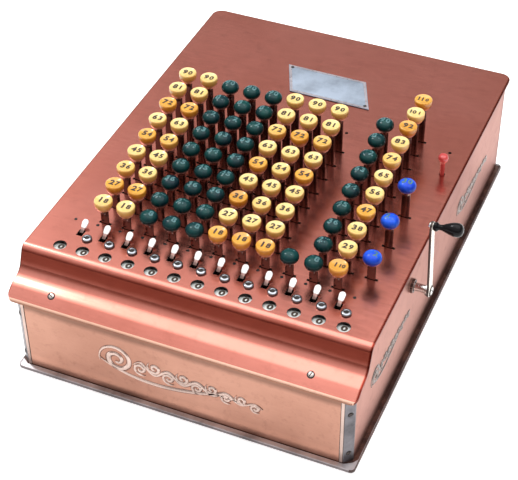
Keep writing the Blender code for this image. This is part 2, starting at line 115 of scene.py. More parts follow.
# Studs, and the rail that carries them and the cut-off levers' rod
STUD_1_X = COLUMN_1_X - 4.0
STUD_DEPTH = 50.0
STUD_HOLE_RADIUS = 1.9
RAIL_DEPTHS = (47.8, 51.6)
RAIL_THICK = 2.6
EAR_XS = (113.0, 114.9)
EAR_DEPTHS = (50.6, 59.0)
EAR_BOTTOM = 87.5
ROD_RADIUS = 1.5

# Cut-off levers: a pivot, a knee and a tip are (depth, height)
CUTOFF_1_X = COLUMN_1_X - 12.0
CUTOFF_SLOT_DEPTHS = (51.6, 58.6)
CUTOFF_SLOT_WIDTH = 5.2
CUTOFF_PIVOT = (57.0, 90.0)
CUTOFF_KNEE = (56.0, 104.6)
CUTOFF_TIP = (65.5, 110.3)
CUTOFF_EYE_RADIUS = 3.2
PIN_DEPTH = 68.0
PIN_SHIFT = -3.3

# Side lever: an end is (depth, height)
LEVER_FOOT = (127.5, 75.0)
LEVER_HEAD = (117.5, 147.4)
CRANK_DROP = 20.0
KNOB_TILT = -7.0

# Key stems and their bars
STEM_HALF_WIDTH = 3.3
BAR_HALF_WIDTH = 3.2
BAR_HEIGHT = 6.0

# Screws: a shelf screw is (x, slot angle), a corner screw (height, slot angle), a place (depth, height)
SHELF_SCREWS = ((-106.4, -30.0), (102.5, 70.0))
SHELF_SCREW_PLACE = (4.9, 82.3)
CORNER_SCREWS = ((54.0, 25.0), (12.6, 70.0))
CORNER_SCREW_INSET = 2.8
CORNER_SCREW_DEPTH = 4.4

BASE_CORNER = 4.0
NAMEPLATE_SHEAR = -15.6
SOFT_EDGE = 0.3
SHARP_ANGLE = 35.0

FARTHING_ROWS = (2, 4, 6)
BANK_COLOURS = ("ivory", "ivory", "green", "green", "green", "ivory", "ivory", "ivory")

# How aged an ivory key is, by its row: 1 is a little yellowed, 2 is amber
KEY_TONES = {
    "pounds_keys_1": {2: 2, 3: 1, 5: 2, 7: 2},
    "pounds_keys_2": {2: 2, 5: 1, 7: 2},
    "pounds_keys_6": {1: 2, 3: 2, 5: 2, 7: 1},
    "pounds_keys_7": {1: 2, 7: 2},
    "pounds_keys_8": {1: 2, 5: 2, 7: 1},
    "pence": {1: 2, 4: 2, 7: 1, 9: 2, 11: 2},
}


def at(depth):
    """The Y of a depth behind the front line."""
    return FRONT + depth


def span(depths):
    return at(depths[0]), at(depths[1])


# ---- mesh tools


def arc(centre, radius, start, end, steps):
    points = []
    for step in range(steps + 1):
        angle = math.radians(start + (end - start) * step / steps)
        points.append((centre[0] + radius * math.cos(angle), centre[1] + radius * math.sin(angle)))
    return points


def move(shape, offset):
    bmesh.ops.translate(shape, vec=offset, verts=shape.verts)


def stretch(shape, factors):
    bmesh.ops.scale(shape, vec=factors, verts=shape.verts)


def transform(shape, matrix):
    bmesh.ops.transform(shape, matrix=matrix.to_4x4(), verts=shape.verts)


def rounded(shape, edges, width, segments):
    bmesh.ops.bevel(shape, geom=list(edges), offset=width, segments=segments, profile=0.5, affect="EDGES")


def prism(outline, axis, low, high, bevel=0.0, segments=2):
    """A flat outline extruded along an axis, with its outline edges rounded."""
    shape = bmesh.new()
    if axis == "X":
        rings = [[shape.verts.new((level, u, v)) for u, v in outline] for level in (low, high)]
    else:
        rings = [[shape.verts.new((u, v, level)) for u, v in outline] for level in (low, high)]
    caps = [shape.faces.new(ring) for ring in rings]
    for index in range(len(outline)):
        following = (index + 1) % len(outline)
        shape.faces.new((rings[0][index], rings[0][following], rings[1][following], rings[1][index]))
    bmesh.ops.recalc_face_normals(shape, faces=shape.faces)
    if bevel:
        edges = {edge for cap in caps for edge in cap.edges}
        rounded(shape, edges, bevel, segments)
    return shape


def box(x_range, y_range, z_range, bevel=0.0):
    (x0, x1), (y0, y1) = x_range, y_range
    shape = prism(((x0, y0), (x1, y0), (x1, y1), (x0, y1)), "Z", *z_range)
    if bevel:
        rounded(shape, shape.edges, bevel, 2)
    return shape


def turned(profile, sides, axis="Z", centre=(0.0, 0.0, 0.0)):
    """A solid of revolution of (radius, height) pairs. A radius of zero closes an end in a point."""
    shape = bmesh.new()
    rings = []
    for radius, height in profile:
        if radius == 0.0:
            rings.append([shape.verts.new((0.0, 0.0, height))])
            continue
        turn = [2 * math.pi * index / sides for index in range(sides)]
        rings.append([shape.verts.new((radius * math.cos(a), radius * math.sin(a), height)) for a in turn])
    for end in (rings[0], rings[-1]):
        if len(end) > 1:
            shape.faces.new(end)
    for lower, upper in zip(rings, rings[1:]):
        for index in range(sides):
            following = (index + 1) % sides
            corners = [lower[index % len(lower)], lower[following % len(lower)]]
            corners += [upper[following % len(upper)], upper[index % len(upper)]]
            shape.faces.new(list(dict.fromkeys(corners)))
    if axis == "X":
        transform(shape, Matrix.Rotation(math.radians(90), 4, "Y"))
    move(shape, centre)
    bmesh.ops.recalc_face_normals(shape, faces=shape.faces)
    return shape


def painted(shape, index):
    """The shape with all its faces in one of the piece's material slots."""
    for face in shape.faces:
        face.material_index = index
    return shape


def gathered(shapes):
    whole = bmesh.new()
    for shape in shapes:
        mesh = bpy.data.meshes.new("gathered")
        shape.to_mesh(mesh)
        shape.free()
        whole.from_mesh(mesh)
        bpy.data.meshes.remove(mesh)
    return whole


def scratch_object(shape):
    mesh = bpy.data.meshes.new("scratch")
    shape.to_mesh(mesh)
    shape.free()
    obj = bpy.data.objects.new("scratch", mesh)
    bpy.context.scene.collection.objects.link(obj)
    return obj


def cut_out(first, second):
    """The first shape without what the second takes up."""
    body, tool = scratch_object(first), scratch_object(second)
    modifier = body.modifiers.new("cut", "BOOLEAN")
    modifier.operation = "DIFFERENCE"
    modifier.solver = "EXACT"
    modifier.object = tool
    graph = bpy.context.evaluated_depsgraph_get()
    result = bmesh.new()
    result.from_mesh(body.evaluated_get(graph).data)
    for obj in (body, tool):
        mesh = obj.data
        bpy.data.objects.remove(obj)
        bpy.data.meshes.remove(mesh)
    return result


def piece(name, shape, materials, body, replaces=()):
    """Makes a visible piece in metres, which rides on a CAD body."""
    stretch(shape, (MM, MM, MM))
    mesh = bpy.data.meshes.new(name)
    shape.to_mesh(mesh)
    shape.free()
    for material in materials:
        mesh.materials.append(MATERIALS[material])
    mesh.shade_smooth()
    mesh.set_sharp_from_angle(angle=math.radians(SHARP_ANGLE))
    obj = bpy.data.objects.new(name, mesh)
    bpy.context.scene.collection.objects.link(obj)
    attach(obj, body)
    if replaces:
        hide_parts(*replaces)


NUMERALS = {}


def numeral(text, height):
    """A flat, slightly raised number, centred on the origin in the XY plane, as a new shape."""
    if text not in NUMERALS:
        curve = bpy.data.curves.new("numeral", "FONT")
        curve.body = text
        curve.size = 1.0
        curve.extrude = 0.012
        curve.resolution_u = 3
        curve.offset = 0.042
        obj = bpy.data.objects.new("numeral", curve)
        bpy.context.scene.collection.objects.link(obj)
        graph = bpy.context.evaluated_depsgraph_get()
        mesh = bpy.data.meshes.new_from_object(obj.evaluated_get(graph))
        bpy.data.objects.remove(obj)
        bpy.data.curves.remove(curve)
        shape = bmesh.new()
        shape.from_mesh(mesh)
        bmesh.ops.remove_doubles(shape, verts=shape.verts, dist=1e-5)
        shape.to_mesh(mesh)
        shape.free()
        NUMERALS[text] = mesh
    shape = bmesh.new()
    shape.from_mesh(NUMERALS[text])
    xs = [v.co.x for v in shape.verts]
    ys = [v.co.y for v in shape.verts]
    centre = Vector(((min(xs) + max(xs)) / 2, (min(ys) + max(ys)) / 2, 0.0))
    move(shape, -centre)
    size = height / (max(ys) - min(ys))
    stretch(shape, (size, size, size))
    return shape


# ---- materials


def grey(level):
    """A colour as it is, or a level as a grey."""
    return level if isinstance(level, tuple) else (level, level, level)


def fill(node, values):
    for name, value in values.items():
        node.inputs[name.replace("_", " ")].default_value = value


class Nodes:
    """A short way to write the node tree of a material or of the world."""

    def __init__(self, owner, shader="Principled BSDF", place="Object"):
        owner.use_nodes = True
        self.owner = owner
        self.tree = owner.node_tree
        self.shader = self.tree.nodes[shader]
        coordinates = self.add("TexCoord")
        self.place = coordinates.outputs[place]
        self.normal = coordinates.outputs["Normal"]

    def set(self, **values):
        """Sets the shader's sockets. A space in a socket's name is written as an underscore."""
        fill(self.shader, values)

    def add(self, kind, **values):
        node = self.tree.nodes.new(f"ShaderNode{kind}")
        fill(node, values)
        return node

    def link(self, output, socket):
        self.tree.links.new(output, socket)

    def shade(self, name, output):
        """Feeds one of the shader's own sockets."""
        self.link(output, self.shader.inputs[name])

    def noise(self, scale, detail, rough, grain=(1.0, 1.0, 1.0)):
        mapping = self.add("Mapping", Scale=grain)
        self.link(self.place, mapping.inputs["Vector"])
        node = self.add("TexNoise", Scale=scale, Detail=detail, Roughness=rough)
        self.link(mapping.outputs["Vector"], node.inputs["Vector"])
        return node.outputs["Fac"]

    def ramp(self, value, stops):
        """A colour by a value from 0 to 1. A stop is (value, colour or level)."""
        node = self.add("ValToRGB")
        ends = node.color_ramp.elements
        while len(ends) < len(stops):
            ends.new(0.5)
        for element, (position, colour) in zip(ends, stops):
            element.position = position
            element.color = (*grey(colour), 1.0)
        self.link(value, node.inputs["Fac"])
        return node.outputs["Color"]

    def range(self, value, low, high, from_low=0.3, from_high=0.7):
        node = self.add("MapRange", From_Min=from_low, From_Max=from_high, To_Min=low, To_Max=high)
        self.link(value, node.inputs["Value"])
        return node.outputs["Result"]

    def part(self, vector, axis):
        node = self.add("SeparateXYZ")
        self.link(vector, node.inputs["Vector"])
        return node.outputs[axis]

    def by_tilt(self, shades):
        """A level or colour by the upward part of the surface's normal, from -1 to 1."""
        upward = self.range(self.part(self.normal, "Z"), 0.0, 1.0, -1.0, 1.0)
        return self.ramp(upward, [(0.5 + rise / 2, level) for rise, level in shades])

    def by_place(self, axis, low, high, shades, uneven=0.0):
        """A level or colour by the place along an axis, in millimetres, made uneven by a fine noise."""
        share = self.range(self.part(self.place, axis), 0.0, 1.0, low * MM, high * MM)
        if uneven:
            wander = self.add("Math")
            wander.operation = "MULTIPLY_ADD"
            wander.inputs[1].default_value = uneven
            self.link(self.noise(25.0, 4.0, 0.6), wander.inputs[0])
            self.link(share, wander.inputs[2])
            share = wander.outputs["Value"]
        stops = [((place - low) / (high - low) + uneven / 2, level) for place, level in shades]
        return self.ramp(share, stops)

    def mix(self, factor, first, second, blend="MIX"):
        """Mixes two colours. The colour mix's sockets are 0 for the factor, and 6 and 7 for the colours."""
        node = self.add("Mix")
        node.data_type = "RGBA"
        node.blend_type = blend
        if isinstance(factor, float):
            node.inputs[0].default_value = factor
        else:
            self.link(factor, node.inputs[0])
        self.link(first, node.inputs[6])
        self.link(second, node.inputs[7])
        return node.outputs[2]

    def bump(self, value, distance, strength):
        node = self.add("Bump", Distance=distance, Strength=strength)
        self.link(value, node.inputs["Height"])
        self.shade("Normal", node.outputs["Normal"])


def new_material(name):
    return Nodes(bpy.data.materials.new(name))


def copper(name, bright, dull, roughness, brushed, lines_depth=0.25, heights=(), edges=(), grazing=1.0):
    """Satin copper: brush lines, a mottled patina and dark spots, with painted shade and light by height and
    along its edges.
    """
    nodes = new_material(name)
    lines = nodes.noise(60.0, 5.0, 0.65, brushed)
    patina = nodes.noise(9.0, 6.0, 0.6)
    spots = nodes.noise(120.0, 3.0, 0.7)
    tone = nodes.ramp(patina, ((0.34, dull), (0.62, bright)))
    spotted = nodes.ramp(spots, ((0.26, (0.55, 0.48, 0.46)), (0.46, 1.0)))
    tone = nodes.mix(0.15 + lines_depth * 0.4, tone, spotted, "MULTIPLY")
    streaks = nodes.ramp(lines, ((0.30, (0.88, 0.85, 0.84)), (0.70, 1.0)))
    tone = nodes.mix(lines_depth, tone, streaks, "MULTIPLY")
    # Painted shade and light by height, and along an edge
    if heights:
        tone = nodes.mix(1.0, tone, nodes.by_place("Z", 0.0, SHADED_HEIGHT, heights, 0.03), "MULTIPLY")
    if edges:
        axis, low, high, shades = edges
        tone = nodes.mix(1.0, tone, nodes.by_place(axis, low, high, shades), "MULTIPLY")
    nodes.shade("Base Color", tone)
    nodes.shade("Roughness", nodes.range(lines, roughness - 0.03, roughness + 0.05))
    nodes.bump(lines, 0.00003, lines_depth)
    nodes.set(Metallic=1.0, Specular_Tint=(1.0, grazing, grazing * 0.95, 1.0))
    return name, nodes.owner


def metal(name, colour, roughness, grain=(1.0, 1.0, 12.0), metallic=1.0, dulled=0.78):
    """Plated or polished metal with a fine grain and faint dull patches."""
    nodes = new_material(name)
    fine = nodes.noise(300.0, 3.0, 0.6, grain)
    patches = nodes.noise(45.0, 4.0, 0.6)
    dull = tuple(channel * dulled for channel in colour)
    nodes.shade("Base Color", nodes.ramp(patches, ((0.35, dull), (0.6, colour))))
    nodes.shade("Roughness", nodes.range(fine, roughness * 0.8, roughness * 1.3))
    nodes.bump(fine, 0.00001, 0.3)
    nodes.set(Metallic=metallic, Anisotropic=0.2)
    return name, nodes.owner


def moulded(name, light, deep, roughness, shades=(), mottle=55.0, coat=0.4, subsurface=0.0, specular=0.5):
    """A polished keytop or knob: cloudy colour under a clear gloss, with painted shade, by tilt, where it
    faces down.
    """
    nodes = new_material(name)
    cloud = nodes.noise(mottle, 4.0, 0.6)
    grain = nodes.noise(700.0, 2.0, 0.5)
    tone = nodes.ramp(cloud, ((0.33, deep), (0.66, light)))
    if shades:
        tone = nodes.mix(1.0, tone, nodes.by_tilt(shades), "MULTIPLY")
    nodes.shade("Base Color", tone)
    nodes.shade("Roughness", nodes.range(cloud, roughness * 1.35, roughness * 0.75))
    nodes.bump(grain, 0.00001, 0.25)
    nodes.set(Coat_Weight=coat, Coat_Roughness=0.06, Specular_IOR_Level=specular)
    if subsurface:
        nodes.set(Subsurface_Weight=subsurface, Subsurface_Scale=0.004)
    return name, nodes.owner


def ink(name, colour, roughness=0.5):
    """Matt ink, worn paler in specks. It also serves as painted shade in holes and slots."""
    nodes = new_material(name)
    wear = nodes.noise(400.0, 3.0, 0.6)
    faded = tuple(min(1.0, channel * 1.9 + 0.01) for channel in colour)
    nodes.shade("Base Color", nodes.ramp(wear, ((0.45, colour), (0.75, faded))))
    nodes.set(Roughness=roughness)
    return name, nodes.owner


def lacquer(name, dark, worn, roughness):
    """Dark glossy lacquer on sheet metal, rubbed to a warmer tone in places."""
    nodes = new_material(name)
    rubbed = nodes.noise(70.0, 6.0, 0.7)
    nodes.shade("Base Color", nodes.ramp(rubbed, ((0.46, dark), (0.70, worn))))
    nodes.shade("Roughness", nodes.range(rubbed, roughness, roughness + 0.2))
    nodes.bump(rubbed, 0.00004, 0.3)
    nodes.set(Metallic=0.65, Coat_Weight=0.5, Coat_Roughness=0.08)
    return name, nodes.owner


# Painted shade and light that multiply a colour: by tilt on the keys, and by place on the copper, in
# millimetres
# Keys: painted shade where they face down, lighter towards the top
IVORY_SHADES = (
    (-0.65, (0.22, 0.10, 0.05)), (-0.15, (0.62, 0.42, 0.26)), (0.35, (0.92, 0.82, 0.70)), (0.8, 1.0),
)
GLASS_SHADES = ((-0.7, 0.15), (-0.1, 0.35), (0.6, 0.7), (0.95, 1.0))
SHADED_HEIGHT = 110.0
# Cover: painted shade over the steep face below the crest
COVER_HEIGHTS = (
    (87.0, 1.0), (91.0, (0.85, 0.70, 0.64)), (94.5, (0.56, 0.33, 0.27)), (101.0, (0.52, 0.30, 0.24)),
    (103.0, (0.80, 0.66, 0.62)), (104.2, 1.0),
)
# Cover ends: a grey line along the left edge, and a strip of painted shade along the right edge
COVER_ENDS = (
    (COVER_LOW.x, 0.45), (COVER_LOW.x + 0.7, 0.5), (COVER_LOW.x + 1.0, 1.0),
    (COVER_HIGH.x - 1.9, 1.0), (COVER_HIGH.x - 1.4, (0.30, 0.12, 0.09)),
)
# Front panel: lighter towards the foot as painted light, and a painted shadow under the cover's fold at the
# top
FRONT_HEIGHTS = ((9.0, 1.0), (16.0, 0.8), (60.0, 0.76), (64.5, 0.40))
# Side and rear panels: painted shade at the foot, and a painted shadow under the cover's overhang at the top
SIDE_HEIGHTS = ((3.0, 0.32), (14.0, 0.72), (30.0, 1.0), (88.0, 1.0), (97.0, 0.6))
# Darker towards the back as painted shade, with a dark line at the rear edge
SIDE_ENDS = ((-200.0, 1.1), (60.0, 0.88), (185.0, 0.72), (186.6, 0.3))


def make_materials():
    cover_edges = ("X", COVER_LOW.x, COVER_HIGH.x, COVER_ENDS)
    side_edges = ("Y", -200.0, 200.0, SIDE_ENDS)
    made = [
        copper("copper_top", (0.62, 0.222, 0.175), (0.56, 0.185, 0.14), 0.22, (1.0, 10.0, 1.0), 0.12,
               COVER_HEIGHTS, cover_edges),
        # A painted shadow line along the fold's foot
        copper("copper_fold_shadow", (0.30, 0.15, 0.10), (0.22, 0.10, 0.07), 0.35, (1.0, 1.0, 6.0)),
        # A painted highlight on the fold
        copper("copper_fold_highlight", (0.80, 0.50, 0.38), (0.70, 0.40, 0.29), 0.35, (1.0, 1.0, 6.0)),
        copper("copper_front", (0.66, 0.35, 0.255), (0.52, 0.26, 0.185), 0.30, (1.0, 1.0, 12.0), 0.5,
               FRONT_HEIGHTS),
        copper("copper_side", (0.50, 0.335, 0.285), (0.31, 0.19, 0.165), 0.32, (1.0, 1.0, 5.0), 1.0,
               SIDE_HEIGHTS, side_edges, grazing=0.72),
        # Reliefs: a light band, and beneath it a dark band painted as its shadow
        metal("relief_light", (0.62, 0.47, 0.41), 0.28),
        metal("relief_front_shadow", (0.20, 0.10, 0.075), 0.4),
        metal("relief_grey", (0.30, 0.25, 0.23), 0.3),
        metal("relief_shade", (0.10, 0.07, 0.065), 0.4),
        metal("nickel", (0.86, 0.85, 0.82), 0.16),
        metal("screw_metal", (0.52, 0.47, 0.44), 0.25),
        metal("bright_blade", (0.97, 0.95, 0.94), 0.25, metallic=0.25, dulled=0.95),
        metal("stud_steel", (0.36, 0.37, 0.40), 0.2),
        metal("steel_stem", (0.24, 0.15, 0.135), 0.16),
        metal("polished_steel", (0.90, 0.84, 0.76), 0.25, metallic=0.7, dulled=0.9),
        metal("dark_edge", (0.10, 0.08, 0.075), 0.35),
        metal("red_edge", (0.16, 0.03, 0.02), 0.35),
        metal("flange_metal", (0.60, 0.45, 0.39), 0.35, metallic=0.9),
        metal("tray_top_lit", (0.45, 0.41, 0.42), 0.35, metallic=0.8, dulled=0.5),
        metal("tray_side_shaded", (0.20, 0.175, 0.18), 0.4, metallic=0.8, dulled=0.6),
        metal("corner_grey", (0.21, 0.20, 0.215), 0.34, dulled=0.45),
        metal("inner_steel", (0.18, 0.17, 0.16), 0.5),
        metal("nameplate_alloy", (0.35, 0.41, 0.50), 0.5, (6.0, 3.0, 1.0), metallic=0.4, dulled=0.68),
        metal("nameplate_rim", (0.66, 0.60, 0.64), 0.3),
        lacquer("base_lacquer", (0.048, 0.020, 0.016), (0.15, 0.065, 0.045), 0.26),
        moulded("ivory", (0.90, 0.70, 0.28), (0.82, 0.56, 0.17), 0.22, IVORY_SHADES, subsurface=0.1),
        moulded("ivory_warm", (0.88, 0.58, 0.17), (0.76, 0.42, 0.08), 0.22, IVORY_SHADES, subsurface=0.08),
        moulded("ivory_aged", (0.82, 0.43, 0.06), (0.64, 0.28, 0.022), 0.22, IVORY_SHADES, subsurface=0.06),
        moulded("green", (0.004, 0.060, 0.055), (0.002, 0.020, 0.030), 0.13, GLASS_SHADES, 80.0, 0.0,
                specular=0.2),
        moulded("blue", (0.020, 0.150, 0.95), (0.006, 0.050, 0.62), 0.13, GLASS_SHADES, 80.0, 0.0,
                specular=0.25),
        moulded("red", (0.62, 0.06, 0.055), (0.42, 0.025, 0.03), 0.22),
        moulded("black", (0.008, 0.007, 0.008), (0.003, 0.003, 0.004), 0.12, coat=0.0, specular=0.15),
        moulded("wheel_white", (0.66, 0.68, 0.66), (0.50, 0.52, 0.50), 0.3),
        ink("ink_dark", (0.035, 0.018, 0.010)),
        ink("ink_light", (0.05, 0.14, 0.15)),
        ink("recess_dark", (0.012, 0.008, 0.007), 0.7),
    ]
    return dict(made)


MATERIALS = make_materials()


def dress(node, material):
    """Gives a CAD node that stays in view its finish."""
    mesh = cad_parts[node].data
    mesh.materials.clear()
    mesh.materials.append(MATERIALS[material])


def soften(node):
    """Rounds the edges of a CAD node that stays in view, without touching its mesh."""
    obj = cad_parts[node]
    weld = obj.modifiers.new("weld", "WELD")
    weld.merge_threshold = 1e-6
    bevel = obj.modifiers.new("bevel", "BEVEL")
    bevel.width = SOFT_EDGE * MM
    bevel.segments = 2
    bevel.limit_method = "ANGLE"
    bevel.angle_limit = math.radians(SHARP_ANGLE)


# ---- case


def cover_line(inset):
    """The cover's section, (Y, Z) from the back edge to the fold, moved inwards from its outer face."""
    crest = arc(CREST_CENTRE, CREST_RADIUS - inset, 90, 90 + STEEP_TILT, 18)
    cove = arc(COVE_CENTRE, COVE_RADIUS + inset, STEEP_TILT - 90, SHELF_TILT - 90, 14)
    nose = arc(NOSE_CENTRE, NOSE_RADIUS - inset, 90 + SHELF_TILT, 90 + NOSE_TILT, 6)
    fold = arc(FOLD_CENTRE, FOLD_RADIUS - inset, 90 + NOSE_TILT, 180, 8)
    slope = math.radians(NOSE_TILT)
    # Where the fold's painted highlight starts, a little up the slope
    worn = (fold[0][0] + FOLD_HIGHLIGHT_REACH * math.cos(slope), fold[0][1] + FOLD_HIGHLIGHT_REACH * math.sin(slope))
    back, foot = (COVER_HIGH.y - FRONT, TOP - inset), (fold[-1][0], COVER_LOW.z)
    line = [back, *crest, *cove, *nose, worn, *fold, foot]
    return [(at(depth), height) for depth, height in line]


def corner_cutter(corner, inward, radius, low, high):
    """Takes the corner off a sheet, and leaves it round."""
    (u, v), (du, dv) = corner, inward
    centre = (u + du * radius, v + dv * radius)
    outer = (u - du * CUT, v - dv * CUT)
    curve = [(centre[0] - du * a, centre[1] - dv * b) for a, b in arc((0.0, 0.0), radius, 0, 90, 16)]
    return prism([*curve, (centre[0], outer[1]), outer, (outer[0], centre[1])], "Z", low, high)


def round_hole(x, y, radius, sides=28):
    return turned([(radius, TOP - SHEET - CUT), (radius, TOP + CUT)], sides, "Z", (x, y, 0.0))


def slot(x, y_range, width):
    """A slot's cutter, with small round corners."""
    corner, outline = 0.4, []
    for quarter, (side, end) in enumerate(((1, 1), (0, 1), (0, 0), (1, 0))):
        u = x + (side * 2 - 1) * (width / 2 - corner)
        v = y_range[end] - (end * 2 - 1) * corner
        outline += arc((u, v), corner, 90 * quarter, 90 * quarter + 90, 3)
    return prism(outline, "Z", TOP - SHEET - CUT, TOP + CUT)


def row_y(row):
    return ROW_1_Y + PITCH * (row - 1)


def key_places():
    """(x, y) of every key."""
    bank = range(1, BANK_ROWS + 1)
    columns = [bank] * 8 + [(1,), bank, range(1, PENCE_ROWS + 1), FARTHING_ROWS]
    places = []
    for index, rows in enumerate(columns):
        places += [(COLUMN_1_X + PITCH * index, row_y(row)) for row in rows]
    return places


def make_cover():
    """One bent sheet with its holes. The holes' walls are painted dark as shade."""
    outline = cover_line(0.0) + cover_line(SHEET)[::-1]
    sheet = prism(outline, "X", COVER_LOW.x, COVER_HIGH.x)
    cutters = []
    for x, y in key_places():
        cutters.append(slot(x, (y - SLOT_LENGTH / 2, y + SLOT_LENGTH / 2), SLOT_WIDTH))
    wheel_y = middle("numeral_wheels").y
    for index in range(WHEELS):
        cutters.append(round_hole(WHEEL_1_X + PITCH * index, wheel_y, WINDOW_RADIUS, 36))
    for index in range(CUTOFFS):
        cutters.append(slot(CUTOFF_1_X + PITCH * index, span(CUTOFF_SLOT_DEPTHS), CUTOFF_SLOT_WIDTH))
        cutters.append(round_hole(STUD_1_X + PITCH * index, at(STUD_DEPTH), STUD_HOLE_RADIUS, 16))
    release = middle("red_release_key")
    cutters.append(round_hole(release.x, release.y, RELEASE_HOLE_RADIUS))
    for x, depth in SMALL_HOLES:
        cutters.append(round_hole(x, at(depth), SMALL_HOLE_RADIUS, 16))
    for side, limit in ((-1, COVER_LOW.x), (1, COVER_HIGH.x)):
        front, back = (limit, COVER_LOW.y), (limit, COVER_HIGH.y)
        cutters.append(corner_cutter(front, (-side, 1), FRONT_CORNER, COVER_LOW.z - CUT, TOP + CUT))
        cutters.append(corner_cutter(back, (-side, -1), BACK_CORNER, TOP - SHEET - CUT, TOP + CUT))
    cover = cut_out(sheet, gathered(cutters))
    edge = 6.0
    for face in cover.faces:
        centre = face.calc_center_median()
        inside = COVER_LOW.x + edge < centre.x < COVER_HIGH.x - edge
        inside = inside and at(CREST_CENTRE[0] + 0.2) < centre.y < COVER_HIGH.y - edge
        # The walls of the holes are painted dark as shade
        if inside and abs(face.normal.z) < 0.5:
            face.material_index = 1
        # The right edge of the sheet is painted dark red as shade
        elif face.normal.x > 0.6:
            face.material_index = 3
        elif face.normal.x < -0.6 or face.normal.y > 0.6:
            face.material_index = 4
        # The fold: a painted highlight above, and a painted shadow line along its foot
        elif centre.y < at(FOLD_CENTRE[0]) and face.normal.y < -0.3:
            face.material_index = 2 if centre.z > FOLD_CENTRE[1] + 1.0 else 5
    materials = ["copper_top", "recess_dark", "copper_fold_highlight", "red_edge", "screw_metal", "copper_fold_shadow"]
    piece("case_cover", cover, materials, "case", ["top_cover"])


def make_base():
    """A flat tray. Its rim is bright at the front and the left, with its top painted light and its upright
    sides painted darker as shade, and it is dark at the right.
    """
    outline = []
    for quarter, (side, end) in enumerate(((1, 1), (-1, 1), (-1, -1), (1, -1))):
        centre = (side * (BASE_HIGH.x - BASE_CORNER), end * (BASE_HIGH.y - BASE_CORNER))
        outline += arc(centre, BASE_CORNER, 90 * quarter, 90 * quarter + 90, 8)
    plate = prism(outline, "Z", BASE_LOW.z, BASE_HIGH.z, 0.7, 3)
    for face in plate.faces:
        centre = face.calc_center_median()
        if centre.x > BASE_HIGH.x - 4.5:
            face.material_index = 1
        # Upright sides: the same steel as the top, painted darker as shade
        elif abs(face.normal.z) < 0.4:
            face.material_index = 2
    # A thin dark sheet just above the tray: at the feet of the front and left panels a painted contact
    # shadow, widening at the right into the tray's dark band
    left, right = FACES[-1], FACES[1]
    front, back, far_right = at(0.9), BASE_HIGH.y - 3.0, BASE_HIGH.x - 1.0
    outline = [(left + 5.0, front), (right - 5.0, front), (right + 1.0, at(5.0)), (far_right, at(9.0))]
    outline += [(far_right, back), (left - 0.8, back), (left - 0.8, at(5.0))]
    ledge = painted(prism(outline, "Z", BASE_HIGH.z - 0.3, BASE_HIGH.z + 0.15), 1)
    materials = ["tray_top_lit", "base_lacquer", "tray_side_shaded"]
    piece("base_tray", gathered([plate, ledge]), materials, "case", ["base_plate"])


def make_flanges():
    """The corner posts' bright flanges over the front panel's ends, each with a dark joint beside it."""
    low, high = box_mm("front_panel")
    for name, side, end in (("left", -1, low.x), ("right", 1, high.x)):
        strips = []
        for material, (edge, width, rise) in enumerate(((0.1, 2.4, 0.35), (-2.3, 0.5, 0.05))):
            x_range = sorted((end + side * edge, end + side * (edge - width)))
            strip = box(x_range, (low.y - rise, low.y + 0.1), (low.z + 0.1, high.z - 0.5), rise / 3)
            strips.append(painted(strip, material))
        materials = ["flange_metal", "recess_dark"]
        piece(f"corner_flange_{name}", gathered(strips), materials, "case")


def make_case():
    make_cover()
    make_base()
    make_flanges()
    for node, material in (
        ("front_panel", "copper_front"), ("rear_panel", "copper_side"), ("left_side_panel", "copper_side"),
        ("right_side_panel", "copper_side"), ("corner_post_left", "corner_grey"),
        ("corner_post_right", "corner_grey"),
    ):
        dress(node, material)
        soften(node)
    dress("key_guide_plate", "inner_steel")


# ---- keys


# Key caps as (radius, height under the top) from the foot up. The flat one has a rim round a dished face
FLAT_CAP = (
    (2.6, -10.6), (3.1, -10.4), (4.4, -9.5), (5.4, -8.3), (6.2, -6.9), (6.75, -5.6), (7.05, -4.6),
    (7.2, -3.4), (7.2, -1.4), (7.1, -0.7), (6.8, -0.2), (6.4, 0.0), (6.0, -0.1), (5.65, -0.35), (0.0, -0.45),
)
DOME_CAP = (
    (2.6, -10.6), (3.3, -10.4), (4.8, -9.6), (5.9, -8.6), (6.7, -7.4), (7.1, -6.2), (7.2, -5.2), (7.1, -4.2),
    (6.7, -3.1), (6.0, -2.15), (5.0, -1.35), (3.7, -0.7), (2.2, -0.22), (0.0, 0.0),
)


def face_height(cap, radius):
    """The height of a cap's face under its top, at a radius."""
    for (inner, high), (outer, low) in zip(cap[::-1], cap[-2::-1]):
        if inner <= radius <= outer:
            return high + (low - high) * (radius - inner) / (outer - inner)
    return cap[-1][1]


def key_marks(x, y, top, cap, value, most):
    """The value and its complement, lying on the key's face."""
    marks = []
    large, small = str(value), str(most - value)
    heights, small_shift = (5.8, 5.2), 2.4
    if len(large + small) > 2:
        heights, small_shift = (4.6, 4.0), 3.0
    for text, height, shift in zip((large, small), heights, (-2.1, small_shift)):
        mark = numeral(text, height)
        move(mark, (shift, 0.0, 0.06))
        for corner in mark.verts:
            corner.co.z += face_height(cap, math.hypot(corner.co.x, corner.co.y))
        move(mark, (x, y, top))
        marks.append(mark)
    return marks


def key_stem(x, y, top, bottom):
    stem = box((x - STEM_HALF_WIDTH, x + STEM_HALF_WIDTH), (y - 0.6, y + 0.6), (bottom, top - 9.8), 0.2)
    profile = [(2.9, top - 12.9), (3.2, top - 12.6), (3.2, top - 11.0), (2.9, top - 10.7)]
    return [stem, turned(profile, 20, "Z", (x, y, 0.0))]


